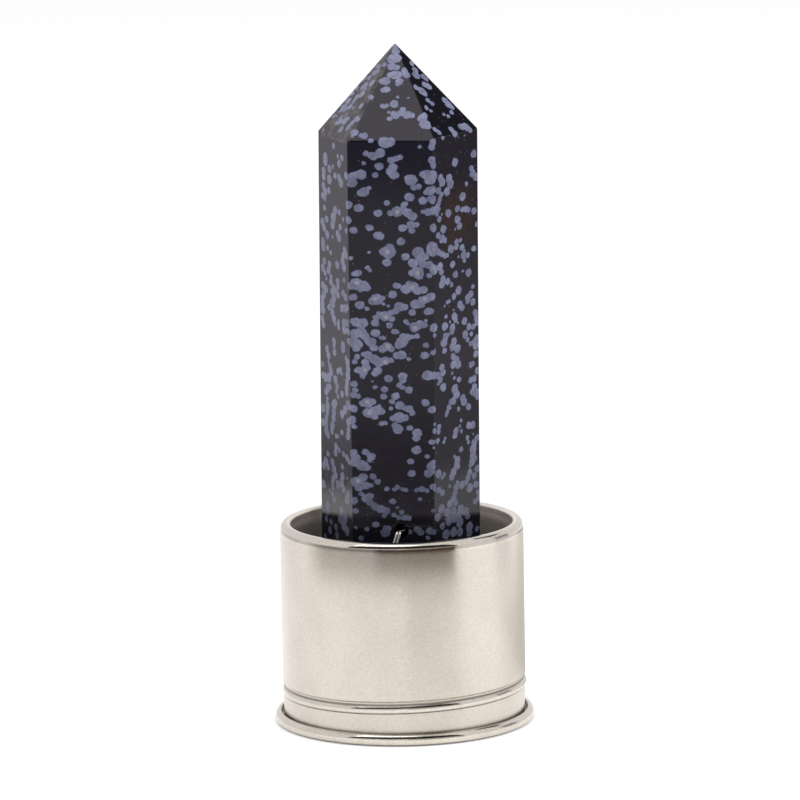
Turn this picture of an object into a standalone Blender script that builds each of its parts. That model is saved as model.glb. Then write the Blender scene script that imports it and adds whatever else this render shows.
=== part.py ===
"""Snowflake obsidian point standing in a steel cup, tied down with wire.

Units are metres, +Z is up, and the front of the object faces -Y.
Sizes below are written in millimetres and turned into metres by MM.
"""

import math

import bmesh
import bpy
from mathutils import Matrix, Vector

MM = 0.001

# Cup, outside
CUP_RADIUS = 21.1
RIM_HEIGHT = 35.2
RIM_INNER_RADIUS = 19.25
RIM_OUTER_ROUND = 1.1
RIM_INNER_ROUND = 0.5
FOOT_RADIUS = 22.5
FOOT_CURL = 1.07
FOOT_LIP = 0.5
BAND_RADIUS = 20.95
BAND_TOP = 5.5
BEAD_RADIUS = 21.2
BEAD_HEIGHT = 6.15
BEAD_HALF_HEIGHT = 0.55
BEAD_CROWN = 0.15
GROOVE_RADIUS = 20.78
GROOVE_BOTTOM = 6.95
GROOVE_TOP = 7.4
WALL_BOTTOM = 7.75
GROOVE_SLOPE = 0.022

# Cup, inside
LOWER_BORE_RADIUS = 17.9
LEDGE_HEIGHT = 23.5
CUP_FLOOR = 1.5
FLOOR_FILLET = 1.0

# Carrier disc
FIT_GAP = 0.3
DISC_THICKNESS = 1.2
DISC_BOTTOM = LEDGE_HEIGHT + FIT_GAP
DISC_TOP = DISC_BOTTOM + DISC_THICKNESS
DISC_RADIUS = RIM_INNER_RADIUS - FIT_GAP
WIRE_HOLE_DIAMETER = 2.4
FRONT_WIRE_HOLE = (-3.05, -14.3)
BACK_WIRE_HOLE = (3.6, 14.6)

# Crystal
FOOT_HEIGHT = DISC_TOP + FIT_GAP
TIP = Vector((0.25, 0.0, 118.6))
MIDDLE_HEIGHT = 73.0
# Each flat: compass direction in degrees, distance from the cup's axis at the middle height,
# how far it leans inward in degrees, and the height of the shoulder above it.
FLATS = {
    "front": (-96.7, 11.40, 0.50, 103.2),
    "right": (-36.7, 12.15, -0.31, 103.55),
    "back_right": (23.3, 12.13, -0.49, 103.8),
    "back": (83.3, 11.70, 0.20, 103.5),
    "back_left": (143.3, 11.74, 0.72, 103.4),
    "left": (203.3, 11.75, 0.35, 103.3),
}
EDGE_WEAR = 0.12
HOLE_DIAMETER = 2.5
HOLE_HEIGHT = 35.7

# Wire
STRAND_DIAMETER = 0.4
STRAND_SPACING = Vector((0.55, 0.0, 0.0))
# One turn of the wire, from under the disc, up the front, through the stone and down the back.
WIRE_TURN = [
    (0.9, 0.0, 23.2),
    (-1.0, -8.0, 23.15),
    (-2.6, -12.8, 23.0),
    (-3.3, -14.25, 23.6),
    (-3.35, -14.4, 25.0),
    (-3.15, -14.2, 26.6),
    (-2.7, -13.8, 28.6),
    (-2.1, -13.25, 31.2),
    (-1.5, -12.8, 33.2),
    (-1.08, -12.42, 34.5),
    (-0.75, -11.95, 35.42),
    (-0.45, -10.9, 35.3),
    (-0.15, -9.0, 35.05),
    (0.5, -5.0, 35.0),
    (1.2, 2.0, 34.95),
    (2.1, 9.0, 35.1),
    (2.5, 11.9, 35.3),
    (2.75, 12.85, 34.6),
    (3.05, 13.3, 32.0),
    (3.3, 14.2, 27.5),
    (3.35, 14.75, 25.2),
    (3.3, 14.6, 23.6),
    (3.0, 13.0, 23.0),
    (2.2, 8.0, 23.15),
]
WIRE_END = (0.9, 1.5, 22.4)
WIRE_POINT_SPACING = 1.1

# How finely round things are cut into flats
TURNING_STEPS = 64
ARC_STEP_DEGREES = 22.5
HOLE_SIDES = 24

COLLECTION_NAME = "snowflake_obsidian_point"


def clear_scene():
    for thing in list(bpy.data.objects):
        bpy.data.objects.remove(thing, do_unlink=True)


def make_collection(name):
    collection = bpy.data.collections.new(name)
    bpy.context.scene.collection.children.link(collection)
    return collection


def make_material(name, colour, roughness, metallic):
    material = bpy.data.materials.new(name)
    material.use_nodes = True
    shader = material.node_tree.nodes["Principled BSDF"]
    shader.inputs["Base Color"].default_value = (*colour, 1.0)
    shader.inputs["Roughness"].default_value = roughness
    shader.inputs["Metallic"].default_value = metallic
    material.diffuse_color = (*colour, 1.0)
    return material


def add_object(name, data, collection, material=None):
    thing = bpy.data.objects.new(name, data)
    collection.objects.link(thing)
    if material is not None:
        data.materials.append(material)
    return thing


def arc(centre, radius, start_degrees, end_degrees):
    """Points along an arc of the profile, both ends included."""
    sweep = end_degrees - start_degrees
    count = max(2, math.ceil(abs(sweep) / ARC_STEP_DEGREES))
    points = []
    for step in range(count + 1):
        angle = math.radians(start_degrees + sweep * step / count)
        points.append((centre[0] + radius * math.cos(angle), centre[1] + radius * math.sin(angle)))
    return points


def foot_profile():
    """The trough behind the foot's lip, the lip and the outside of the curl."""
    curl_centre = (FOOT_RADIUS - FOOT_CURL, FOOT_CURL)
    lip_angle = 75.0
    lip_round = FOOT_LIP / 2
    lip_reach = FOOT_CURL - lip_round
    lip_centre = (curl_centre[0] + lip_reach * math.cos(math.radians(lip_angle)),
                  curl_centre[1] + lip_reach * math.sin(math.radians(lip_angle)))
    trough_outer = lip_centre[0] - lip_round
    trough_middle = (BAND_RADIUS + trough_outer) / 2
    trough_round = (trough_outer - BAND_RADIUS) / 2
    trough = arc((trough_middle, FOOT_CURL), trough_round, 180, 360)
    lip = arc(lip_centre, lip_round, 180, lip_angle)
    curl = arc(curl_centre, FOOT_CURL, lip_angle, -90)
    return trough + lip + curl[1:]


def cup_profile():
    """Radius and height of the cup, from the middle of its floor over the rim to under the foot."""
    rim_inner = (RIM_INNER_RADIUS + RIM_INNER_ROUND, RIM_HEIGHT - RIM_INNER_ROUND)
    rim_outer = (CUP_RADIUS - RIM_OUTER_ROUND, RIM_HEIGHT - RIM_OUTER_ROUND)
    points = [(0.0, CUP_FLOOR)]
    points += arc((LOWER_BORE_RADIUS - FLOOR_FILLET, CUP_FLOOR + FLOOR_FILLET), FLOOR_FILLET, -90, 0)
    points += [(LOWER_BORE_RADIUS, LEDGE_HEIGHT), (RIM_INNER_RADIUS, LEDGE_HEIGHT)]
    points += arc(rim_inner, RIM_INNER_ROUND, 180, 90)
    points += arc(rim_outer, RIM_OUTER_ROUND, 90, 0)
    points += [(CUP_RADIUS, WALL_BOTTOM), (GROOVE_RADIUS, GROOVE_TOP), (GROOVE_RADIUS, GROOVE_BOTTOM)]
    points += bead_profile()
    points += [(BAND_RADIUS, BAND_TOP)]
    points += foot_profile()
    points += [(0.0, 0.0)]
    return points


def bead_profile():
    """The low rounded bead under the groove."""
    points = []
    for step in range(-2, 3):
        part = step / 2
        points.append((BEAD_RADIUS - BEAD_CROWN * part * part, BEAD_HEIGHT - BEAD_HALF_HEIGHT * part))
    return points


def turn_profile(name, profile, collection, material):
    """Turns a profile about the Z axis."""
    mesh = bpy.data.meshes.new(name)
    shape = bmesh.new()
    corners = [shape.verts.new((radius * MM, 0.0, height * MM)) for radius, height in profile]
    for first, second in zip(corners, corners[1:]):
        shape.edges.new((first, second))
    shape.to_mesh(mesh)
    shape.free()
    thing = add_object(name, mesh, collection, material)
    screw = thing.modifiers.new("turn", "SCREW")
    screw.axis = "Z"
    screw.angle = math.tau
    screw.steps = TURNING_STEPS
    screw.render_steps = TURNING_STEPS
    screw.use_merge_vertices = True
    screw.merge_threshold = 0.00001
    screw.use_smooth_shade = True
    return thing


def bake_modifiers(thing):
    """Replaces the object's mesh with what its modifiers make of it."""
    bpy.context.view_layer.update()
    evaluated = thing.evaluated_get(bpy.context.evaluated_depsgraph_get())
    baked = bpy.data.meshes.new_from_object(evaluated)
    baked.name = thing.name
    old = thing.data
    thing.modifiers.clear()
    thing.data = baked
    bpy.data.meshes.remove(old)


def slope_groove(thing):
    """The groove and bead were rolled slightly out of level, rising to the right."""
    for vertex in thing.data.vertices:
        height = vertex.co.z / MM
        outside = math.hypot(vertex.co.x, vertex.co.y) / MM > LOWER_BORE_RADIUS + 1.0
        if outside and BAND_TOP - 0.1 < height < WALL_BOTTOM + 0.1:
            vertex.co.z += GROOVE_SLOPE * vertex.co.x


def make_cup(collection):
    steel = make_material("brushed_steel", (0.62, 0.58, 0.53), 0.32, 1.0)
    cup = turn_profile("steel_cup", cup_profile(), collection, steel)
    bake_modifiers(cup)
    slope_groove(cup)
    return cup


def make_disc(collection, cutters):
    steel = make_material("plate_steel", (0.55, 0.53, 0.50), 0.4, 1.0)
    bpy.ops.mesh.primitive_cylinder_add(
        vertices=TURNING_STEPS, radius=DISC_RADIUS * MM, depth=DISC_THICKNESS * MM,
        location=(0.0, 0.0, (DISC_BOTTOM + DISC_TOP) / 2 * MM))
    disc = adopt("carrier_disc", collection, steel)
    for index, place in enumerate((FRONT_WIRE_HOLE, BACK_WIRE_HOLE)):
        cutter = add_drill(f"disc_hole_{index + 1}", cutters, WIRE_HOLE_DIAMETER, DISC_THICKNESS * 4,
                           Vector((place[0], place[1], DISC_BOTTOM)), Vector((0.0, 0.0, 1.0)))
        cut(disc, cutter)
    return disc


def adopt(name, collection, material=None):
    """Names the primitive just added and moves it to the collection."""
    thing = bpy.context.active_object
    thing.name = name
    thing.data.name = name
    for owner in list(thing.users_collection):
        owner.objects.unlink(thing)
    collection.objects.link(thing)
    if material is not None:
        thing.data.materials.append(material)
    return thing


def add_drill(name, cutters, diameter, length, middle, direction):
    bpy.ops.mesh.primitive_cylinder_add(
        vertices=HOLE_SIDES, radius=diameter / 2 * MM, depth=length * MM, location=middle * MM,
        rotation=direction.to_track_quat("Z", "Y").to_euler())
    cutter = adopt(name, cutters)
    cutter.hide_render = True
    cutter.display_type = "WIRE"
    return cutter


def cut(target, cutter):
    modifier = target.modifiers.new(cutter.name, "BOOLEAN")
    modifier.operation = "DIFFERENCE"
    modifier.solver = "EXACT"
    modifier.object = cutter


def flat_normal(compass, lean_inward):
    """Outward normal of a side flat."""
    around = math.radians(compass)
    lean = math.radians(lean_inward)
    return Vector((math.cos(around) * math.cos(lean), math.sin(around) * math.cos(lean), math.sin(lean)))


def grind(shape, point, normal):
    """Takes off everything beyond a plane and closes the cut."""
    everything = shape.verts[:] + shape.edges[:] + shape.faces[:]
    result = bmesh.ops.bisect_plane(shape, geom=everything, plane_co=point * MM, plane_no=normal,
                                    dist=1e-7, clear_outer=True)
    rim = [part for part in result["geom_cut"] if isinstance(part, bmesh.types.BMEdge)]
    bmesh.ops.contextual_create(shape, geom=rim)


def make_crystal(collection, cutters):
    """A stone block ground to six flats and six facets that meet in one tip, then drilled."""
    glass = make_material("snowflake_obsidian", (0.02, 0.02, 0.025), 0.12, 0.0)
    height = TIP.z - FOOT_HEIGHT
    shape = bmesh.new()
    bmesh.ops.create_cube(shape, size=1.0)
    block = Matrix.Translation(Vector((0.0, 0.0, FOOT_HEIGHT + height / 2 + 5.0)) * MM)
    block = block @ Matrix.Diagonal(Vector((60.0, 60.0, height + 10.0, 1000.0)) * MM)
    bmesh.ops.transform(shape, matrix=block, verts=shape.verts)
    for compass, distance, lean, shoulder in FLATS.values():
        outward = Vector((math.cos(math.radians(compass)), math.sin(math.radians(compass)), 0.0))
        middle = outward * distance + Vector((0.0, 0.0, MIDDLE_HEIGHT))
        grind(shape, middle, flat_normal(compass, lean))
        reach = distance - math.tan(math.radians(lean)) * (shoulder - MIDDLE_HEIGHT) - TIP.dot(outward)
        facet = outward * (TIP.z - shoulder) + Vector((0.0, 0.0, reach))
        grind(shape, TIP, facet.normalized())
    bmesh.ops.recalc_face_normals(shape, faces=shape.faces)
    mesh = bpy.data.meshes.new("crystal")
    shape.to_mesh(mesh)
    shape.free()
    crystal = add_object("crystal", mesh, collection, glass)
    wear = crystal.modifiers.new("worn_edges", "BEVEL")
    wear.width = EDGE_WEAR * MM
    wear.segments = 1
    wear.limit_method = "ANGLE"
    wear.angle_limit = math.radians(15)
    compass, distance, lean, _ = FLATS["front"]
    drill_direction = Vector((-math.cos(math.radians(compass)), -math.sin(math.radians(compass)), 0.0))
    entry = Vector((0.0, -distance / math.cos(math.radians(compass + 90)), HOLE_HEIGHT))
    drill = add_drill("crystal_hole", cutters, HOLE_DIAMETER, 60.0, entry + drill_direction * distance,
                      drill_direction)
    cut(crystal, drill)
    return crystal


def smooth_route(points, spacing):
    """Evenly spaced points on a smooth curve through the given ones."""
    padded = [points[0] * 2 - points[1], *points, points[-1] * 2 - points[-2]]
    route = []
    for before, start, end, after in zip(padded, padded[1:], padded[2:], padded[3:]):
        count = max(1, round((end - start).length / spacing))
        for step in range(count):
            t = step / count
            route.append(0.5 * (2 * start + (end - before) * t
                                + (2 * before - 5 * start + 4 * end - after) * t ** 2
                                + (3 * start - before - 3 * end + after) * t ** 3))
    route.append(points[-1])
    return route


def make_wire(collection):
    """One wire that goes twice round, through the stone and under the disc."""
    steel = make_material("wire_steel", (0.75, 0.74, 0.72), 0.2, 1.0)
    turn = [Vector(point) for point in WIRE_TURN]
    second_turn = [point + STRAND_SPACING for point in turn]
    points = smooth_route(turn + second_turn + [Vector(WIRE_END)], WIRE_POINT_SPACING)
    curve = bpy.data.curves.new("tie_wire", "CURVE")
    curve.dimensions = "3D"
    curve.bevel_depth = STRAND_DIAMETER / 2 * MM
    curve.bevel_resolution = 2
    curve.use_fill_caps = True
    spline = curve.splines.new("POLY")
    spline.points.add(len(points) - 1)
    for knot, point in zip(spline.points, points):
        knot.co = (*(point * MM), 1.0)
    return add_object("tie_wire", curve, collection, steel)


def main():
    clear_scene()
    parts = make_collection(COLLECTION_NAME)
    cutters = make_collection("cutters")
    make_cup(parts)
    make_disc(parts, cutters)
    make_crystal(parts, cutters)
    make_wire(parts)


main()
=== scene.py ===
"""Looks of the snowflake obsidian point in its steel cup.

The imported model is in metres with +Z up. Sizes named here are in millimetres, turned into metres by MM.
"""
import math

import bmesh
import bpy
from mathutils import Matrix, Vector


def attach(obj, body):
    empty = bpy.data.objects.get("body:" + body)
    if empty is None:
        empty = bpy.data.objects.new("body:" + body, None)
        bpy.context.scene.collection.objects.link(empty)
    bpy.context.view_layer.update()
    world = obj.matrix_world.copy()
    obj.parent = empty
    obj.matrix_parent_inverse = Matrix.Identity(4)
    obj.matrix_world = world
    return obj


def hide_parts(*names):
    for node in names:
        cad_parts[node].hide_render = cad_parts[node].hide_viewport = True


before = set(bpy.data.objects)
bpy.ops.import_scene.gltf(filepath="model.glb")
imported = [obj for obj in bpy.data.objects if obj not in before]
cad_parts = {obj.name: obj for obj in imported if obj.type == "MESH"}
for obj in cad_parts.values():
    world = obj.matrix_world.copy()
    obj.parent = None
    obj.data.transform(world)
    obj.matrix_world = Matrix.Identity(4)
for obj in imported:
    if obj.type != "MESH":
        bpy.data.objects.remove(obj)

MM = 0.001
BODY = "root"

# Camera, from the photograph: a long lens a little above the cup. Its clipping is in metres.
CAMERA_DISTANCE = 1300.0
CAMERA_ELEVATION = 10.55
CAMERA_ROLL = -0.98
CAMERA_TARGET = Vector((0.104, 0.0, 56.3))
PIXELS_PER_MM = 5.79
FRAME_PIXELS = 800
SENSOR = 36.0
CAMERA_CLIP = (0.05, 20.0)

# Dark collar in front of the cup, seen only in reflections, which paints the shade under the rim: its
# heights and fades, then in degrees to the right of the front its two ends, where it has most of its
# darkness, and where the rest comes in
COLLAR_RADIUS = 31.5
COLLAR_HEIGHTS = (24.3, 35.0)
COLLAR_FADE = 4.5
COLLAR_TOP_FADE = 1.0
COLLAR_ENDS = (-76.0, 34.5)
COLLAR_MOST = -50.0
COLLAR_MOST_SHARE = 0.7
COLLAR_FULL = (-20.0, -13.0)
COLLAR_STEPS = 32
COLLAR_GLOW = (0.115, 0.086, 0.060)

# Cup, the same sizes as the solid
CUP_RADIUS = 21.1
RIM_HEIGHT = 35.2
RIM_INNER_RADIUS = 19.25
RIM_OUTER_ROUND = 1.1
RIM_INNER_ROUND = 0.5
FOOT_RADIUS = 22.5
FOOT_CURL = 1.07
FOOT_LIP = 0.5
FOOT_LIP_ANGLE = 75.0
BAND_RADIUS = 20.95
BAND_TOP = 5.5
BEAD_RADIUS = 21.2
BEAD_HEIGHT = 6.15
BEAD_HALF_HEIGHT = 0.55
BEAD_CROWN = 0.15
BEAD_STEPS = 8
GROOVE_RADIUS = 20.78
GROOVE_BOTTOM = 6.95
GROOVE_TOP = 7.4
WALL_BOTTOM = 7.75
GROOVE_SLOPE = 0.022
LOWER_BORE_RADIUS = 17.9
LEDGE_HEIGHT = 23.5
CUP_FLOOR = 1.5
FLOOR_FILLET = 1.0
TURNING_STEPS = 256
ARC_STEP_DEGREES = 6.0
MERGE_DISTANCE = 0.001

# Disc, the same sizes as the solid
FIT_GAP = 0.3
DISC_BOTTOM = LEDGE_HEIGHT + FIT_GAP
DISC_TOP = DISC_BOTTOM + 1.2
DISC_RADIUS = RIM_INNER_RADIUS - FIT_GAP
DISC_ROUND = 0.2
WIRE_HOLE_DIAMETER = 2.4
DRILL_LENGTH = 10.0
DRILL_SIDES = 64
WIRE_HOLES = ((-3.05, -14.3), (3.6, 14.6))

# Crystal, the same flats as the solid: compass direction, distance from the axis at the middle
# height, inward lean in degrees and shoulder height. The point stays just under the solid's top.
FOOT_HEIGHT = DISC_TOP + FIT_GAP
TIP = Vector((0.25, 0.0, 118.5))
MIDDLE_HEIGHT = 73.0
FLATS = {
    "front": (-96.7, 11.40, 0.50, 103.2),
    "right": (-36.7, 12.15, -0.31, 103.55),
    "back_right": (23.3, 12.13, -0.49, 103.8),
    "back": (83.3, 11.70, 0.20, 103.5),
    "back_left": (143.3, 11.74, 0.72, 103.4),
    "left": (203.3, 11.75, 0.35, 103.3),
}
EDGE_WEAR = 0.12
HOLE_DIAMETER = 2.5
HOLE_HEIGHT = 35.7
HOLE_EDGE = 0.03

# The block that the stone is ground from
BLOCK_WIDTH = 60.0
BLOCK_SPARE = 10.0

# Turns sharper than this, in degrees, are softened or stay crisp in the shading
SOFTENED = 25
CUP_CRISP = 28
DISC_CRISP = 40
STONE_CRISP = 20

# Wire, the same route as the solid
STRAND_DIAMETER = 0.4
STRAND_SPACING = Vector((0.55, 0.0, 0.0))
WIRE_TURN = [
    (0.9, 0.0, 23.2), (-1.0, -8.0, 23.15), (-2.6, -12.8, 23.0), (-3.3, -14.25, 23.6),
    (-3.35, -14.4, 25.0), (-3.15, -14.2, 26.6), (-2.7, -13.8, 28.6), (-2.1, -13.25, 31.2),
    (-1.5, -12.8, 33.2), (-1.08, -12.42, 34.5), (-0.75, -11.95, 35.42), (-0.45, -10.9, 35.3),
    (-0.15, -9.0, 35.05), (0.5, -5.0, 35.0), (1.2, 2.0, 34.95), (2.1, 9.0, 35.1),
    (2.5, 11.9, 35.3), (2.75, 12.85, 34.6), (3.05, 13.3, 32.0), (3.3, 14.2, 27.5),
    (3.35, 14.75, 25.2), (3.3, 14.6, 23.6), (3.0, 13.0, 23.0), (2.2, 8.0, 23.15),
]
WIRE_END = (0.9, 1.5, 22.4)
WIRE_POINT_SPACING = 0.35

# Flakes that show in the photograph, as round blobs that run together: across and down in its pixels,
# and half the height in pixels
FRONT_FLAKES = (
    (385, 142.5, 5.5), (390, 142, 4.5), (366, 153.5, 2.6), (373, 156, 4), (380, 153, 4.3), (363.5, 163, 2),
    (391, 160, 3.2), (396, 158.5, 2.8), (400, 157.5, 2.6), (379, 166.5, 3.6), (393, 167, 4), (391, 172, 4.2),
    (394, 175, 4.2), (375, 175, 2.8), (361, 174.5, 4.8), (356, 175, 3.4), (352, 177, 4.4), (352, 183, 4.5),
    (411, 180, 5.2), (414, 187.5, 2.9), (418.5, 186.5, 2.8), (364, 192, 4.3), (360.5, 193, 3.4),
    (369, 188.5, 2.3), (409.5, 197.3, 4.1), (423, 174.5, 3.2), (427, 175, 5), (433, 176, 5.5),
    (430, 180, 4.8), (432, 160, 3.6), (435, 165, 4.2), (420, 147, 1.8), (432, 147, 3.5), (434, 143, 4),
    (423, 200.5, 3.8), (430, 191, 4.2), (434, 190, 4), (426, 192.5, 2.4), (432.5, 199.5, 4.2),
    (387, 203, 2.6), (358.5, 208, 4), (404.5, 204.5, 2.8), (397, 211.5, 5), (391, 213, 3.2), (403, 210.5, 4),
    (408, 213, 4.2), (412, 216.5, 4), (378, 213.5, 3.6), (428, 212, 3.6), (423, 211.5, 2), (434, 211, 4.5),
    (347, 205, 4.5), (347, 220, 4), (353.5, 230, 3.4), (369.5, 228, 3.3), (378, 235.5, 3.9),
    (380, 236.5, 3.6), (402.5, 228, 3.6), (411, 225.5, 4), (416, 224.5, 2.8), (412, 230.5, 3.2),
    (401, 241.5, 3.7), (434.5, 228, 4.2), (388, 252, 6.3), (390, 247.5, 4), (384, 252, 4), (405.5, 257, 3.6),
    (418, 252, 5), (421, 257, 5.2), (425, 257, 3.5), (434, 250, 6.5), (432, 246, 4), (387, 262.5, 3.8),
    (413, 263, 4.3), (369, 252.5, 1.6), (351, 258.5, 2.2), (423, 264, 3.6), (429, 265, 3.8), (436, 270, 5.5),
    (429, 275.5, 2.6), (417.5, 272, 5.4), (412, 273, 3.4), (419, 276, 3.4), (367.5, 268, 2.2),
    (370, 270.5, 2), (357, 273.5, 3.2), (354, 274, 2.4), (359, 273, 2.8), (356, 284, 5.6), (350.5, 286, 3.8),
    (363, 286, 5.2), (367, 288, 3.2), (360, 289.5, 2.5), (353, 297, 3.6), (360, 305, 4.2), (367, 308.5, 2),
    (376.5, 299.5, 5.2), (372.5, 301, 3.6), (383, 298, 2.2), (383, 304, 1.8), (397, 286, 3.3),
    (392.5, 294.5, 3.6), (388, 306, 1.5), (406, 289, 4.6), (413, 286.5, 4.8), (417, 291, 3.6),
    (423, 289.5, 3.8), (408, 283, 2.4), (431, 296.5, 4.2), (425.5, 299.5, 4.2), (421, 299.5, 2.8),
    (415.5, 304.5, 4.6), (421, 304, 3.6), (412, 312.5, 3.1), (428.5, 311.5, 4), (400, 307, 4.6),
    (404, 307, 3.6), (396, 311, 3.2), (391, 312.5, 3), (385.5, 316, 5), (380, 314.5, 3.4), (376, 317.5, 3),
    (392, 319, 3), (375, 323, 3.4), (389.5, 325.5, 2.8), (395, 331.5, 3), (398, 332.5, 1.5),
    (406, 321.5, 2.4), (408, 323.5, 1.8), (415, 327, 4.8), (420, 324.5, 4.2), (424, 325, 3),
    (425.5, 320.5, 1.6), (375.5, 333, 3.9), (383.5, 338, 2.4), (380.5, 337.5, 1.7), (357, 322.5, 4.6),
    (363, 323, 4.6), (352.5, 321, 2.6), (355, 334, 4.5), (361, 332, 5), (365, 336, 4), (355, 343, 5.4),
    (351, 341, 3.6), (359, 345, 3.4), (356.5, 349, 3.2), (371, 342.5, 4.6), (367.5, 341, 3.2),
    (374, 348, 3.6), (387.5, 346.5, 3.8), (383, 349, 3.8), (391, 349, 3), (402, 342, 5.2), (399, 345, 3.8),
    (407, 337.5, 3.6), (403, 336.5, 3), (412, 336.5, 2.3), (416.5, 336, 2.4), (426, 345.5, 2.8),
    (425, 355.5, 3.8), (433.5, 352.5, 2.8), (437, 350, 2.4), (402, 355, 4.2), (396.5, 355.5, 3.4),
    (408.5, 359, 1.8), (368, 355, 3.8), (364, 354.5, 2.4), (374, 359, 4.4), (379, 362, 4.4), (385, 361, 4),
    (391, 360.5, 2.6), (365, 362, 3.2), (366, 367.5, 3.8), (359, 370.5, 3.6), (363.5, 372.5, 3.8),
    (362.5, 376.5, 2.4), (378, 370.5, 3.8), (375, 373.5, 3.2), (357, 357, 2.8), (354.5, 362, 2.6),
    (388.5, 378.5, 3.8), (402.5, 376.5, 3.8), (402.5, 380.5, 3), (399, 385, 2.6), (402.5, 387.5, 2.4),
    (409, 390, 3.4), (428, 375.5, 4.8), (425, 376.5, 3), (434, 375.5, 4.2), (435, 328, 4.5), (436, 336, 3),
    (354, 384, 3), (355, 390, 2.6), (375, 387.5, 2), (384.5, 389.5, 3), (372.5, 381.5, 1.2), (384, 396.5, 3),
    (395.5, 396, 3.6), (367, 402.5, 5), (363, 403.5, 3.4), (373, 401.5, 2.8), (368.5, 413, 4.8),
    (375, 411, 5.2), (381, 411.5, 3.4), (374.5, 417, 3), (379, 406.5, 2.2), (392, 401.5, 2.6),
    (391, 408.5, 2), (400, 405.5, 4.2), (409, 409.5, 3.6), (405, 408, 2.8), (412, 413, 2.6), (399, 417.5, 5),
    (405, 418, 3.2), (393, 418.5, 2.8), (398, 429, 4.6), (395, 425.5, 3), (382, 423.5, 2.6), (385.5, 423, 2),
    (410, 428, 2.8), (417.5, 433, 4), (416.5, 438, 3.2), (425.5, 402.5, 3.5), (432, 409.5, 3.6),
    (437, 425, 3), (436, 431, 3.2), (432, 442, 2.8), (434.5, 448, 1.6), (416.5, 450, 4.1),
    (427.5, 456.5, 2.2), (410.5, 461.5, 3), (412, 473.5, 3.4), (431, 466.5, 4), (433, 462.5, 2.5),
    (428.5, 473.5, 3.8), (432, 472, 3), (353.5, 395, 3.2), (358, 396, 2.6), (353, 408.5, 3.8),
    (351.5, 420, 4), (354, 426.5, 2.6), (366, 452, 3.4), (371, 456.5, 3.8), (369.5, 460, 2.6),
    (353, 453, 3.6), (356, 458, 4), (353, 463, 3.4), (362, 465.5, 5), (366.5, 467.5, 3.8), (358, 464, 3.4),
    (373, 476.5, 3), (377.5, 481.5, 3), (357, 482, 5.2), (363, 477, 4), (366, 485.5, 4), (359, 488, 3.6),
    (371, 485.5, 2.4), (361, 494, 2.5), (366, 498.5, 4), (370, 496.5, 3.4), (370, 502.5, 3.4),
    (375, 506.5, 3.8), (381, 509, 4), (386, 511, 3.6), (384, 515.5, 2.2), (354, 500.5, 3.6), (355.5, 511, 3),
    (387, 489, 2.4), (394.5, 489.5, 2), (397.5, 487.5, 2.4), (403, 489.5, 2.2), (406, 490, 2),
    (417, 490, 2.2), (422, 489.5, 3), (427, 490.5, 2.4), (433.5, 486.5, 3), (437, 489.5, 3), (420, 499, 2),
    (393, 501.5, 2.8), (396.5, 507.5, 1.6), (401.5, 512, 2.4), (394, 515, 2.2), (399, 517.5, 2.4),
    (405, 517.5, 3), (408.5, 518.5, 2.6), (376, 524.5, 3), (367, 529, 2.4), (356, 527.5, 1.8), (385, 533, 4),
    (387, 529, 3.4), (417.5, 529.5, 3.4), (421, 532.5, 3.2), (430, 531, 3.4), (434, 532, 3), (433, 510.5, 2),
    (428, 538, 2.2), (410, 532, 2.4), (361, 538, 2.4),
)
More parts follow.
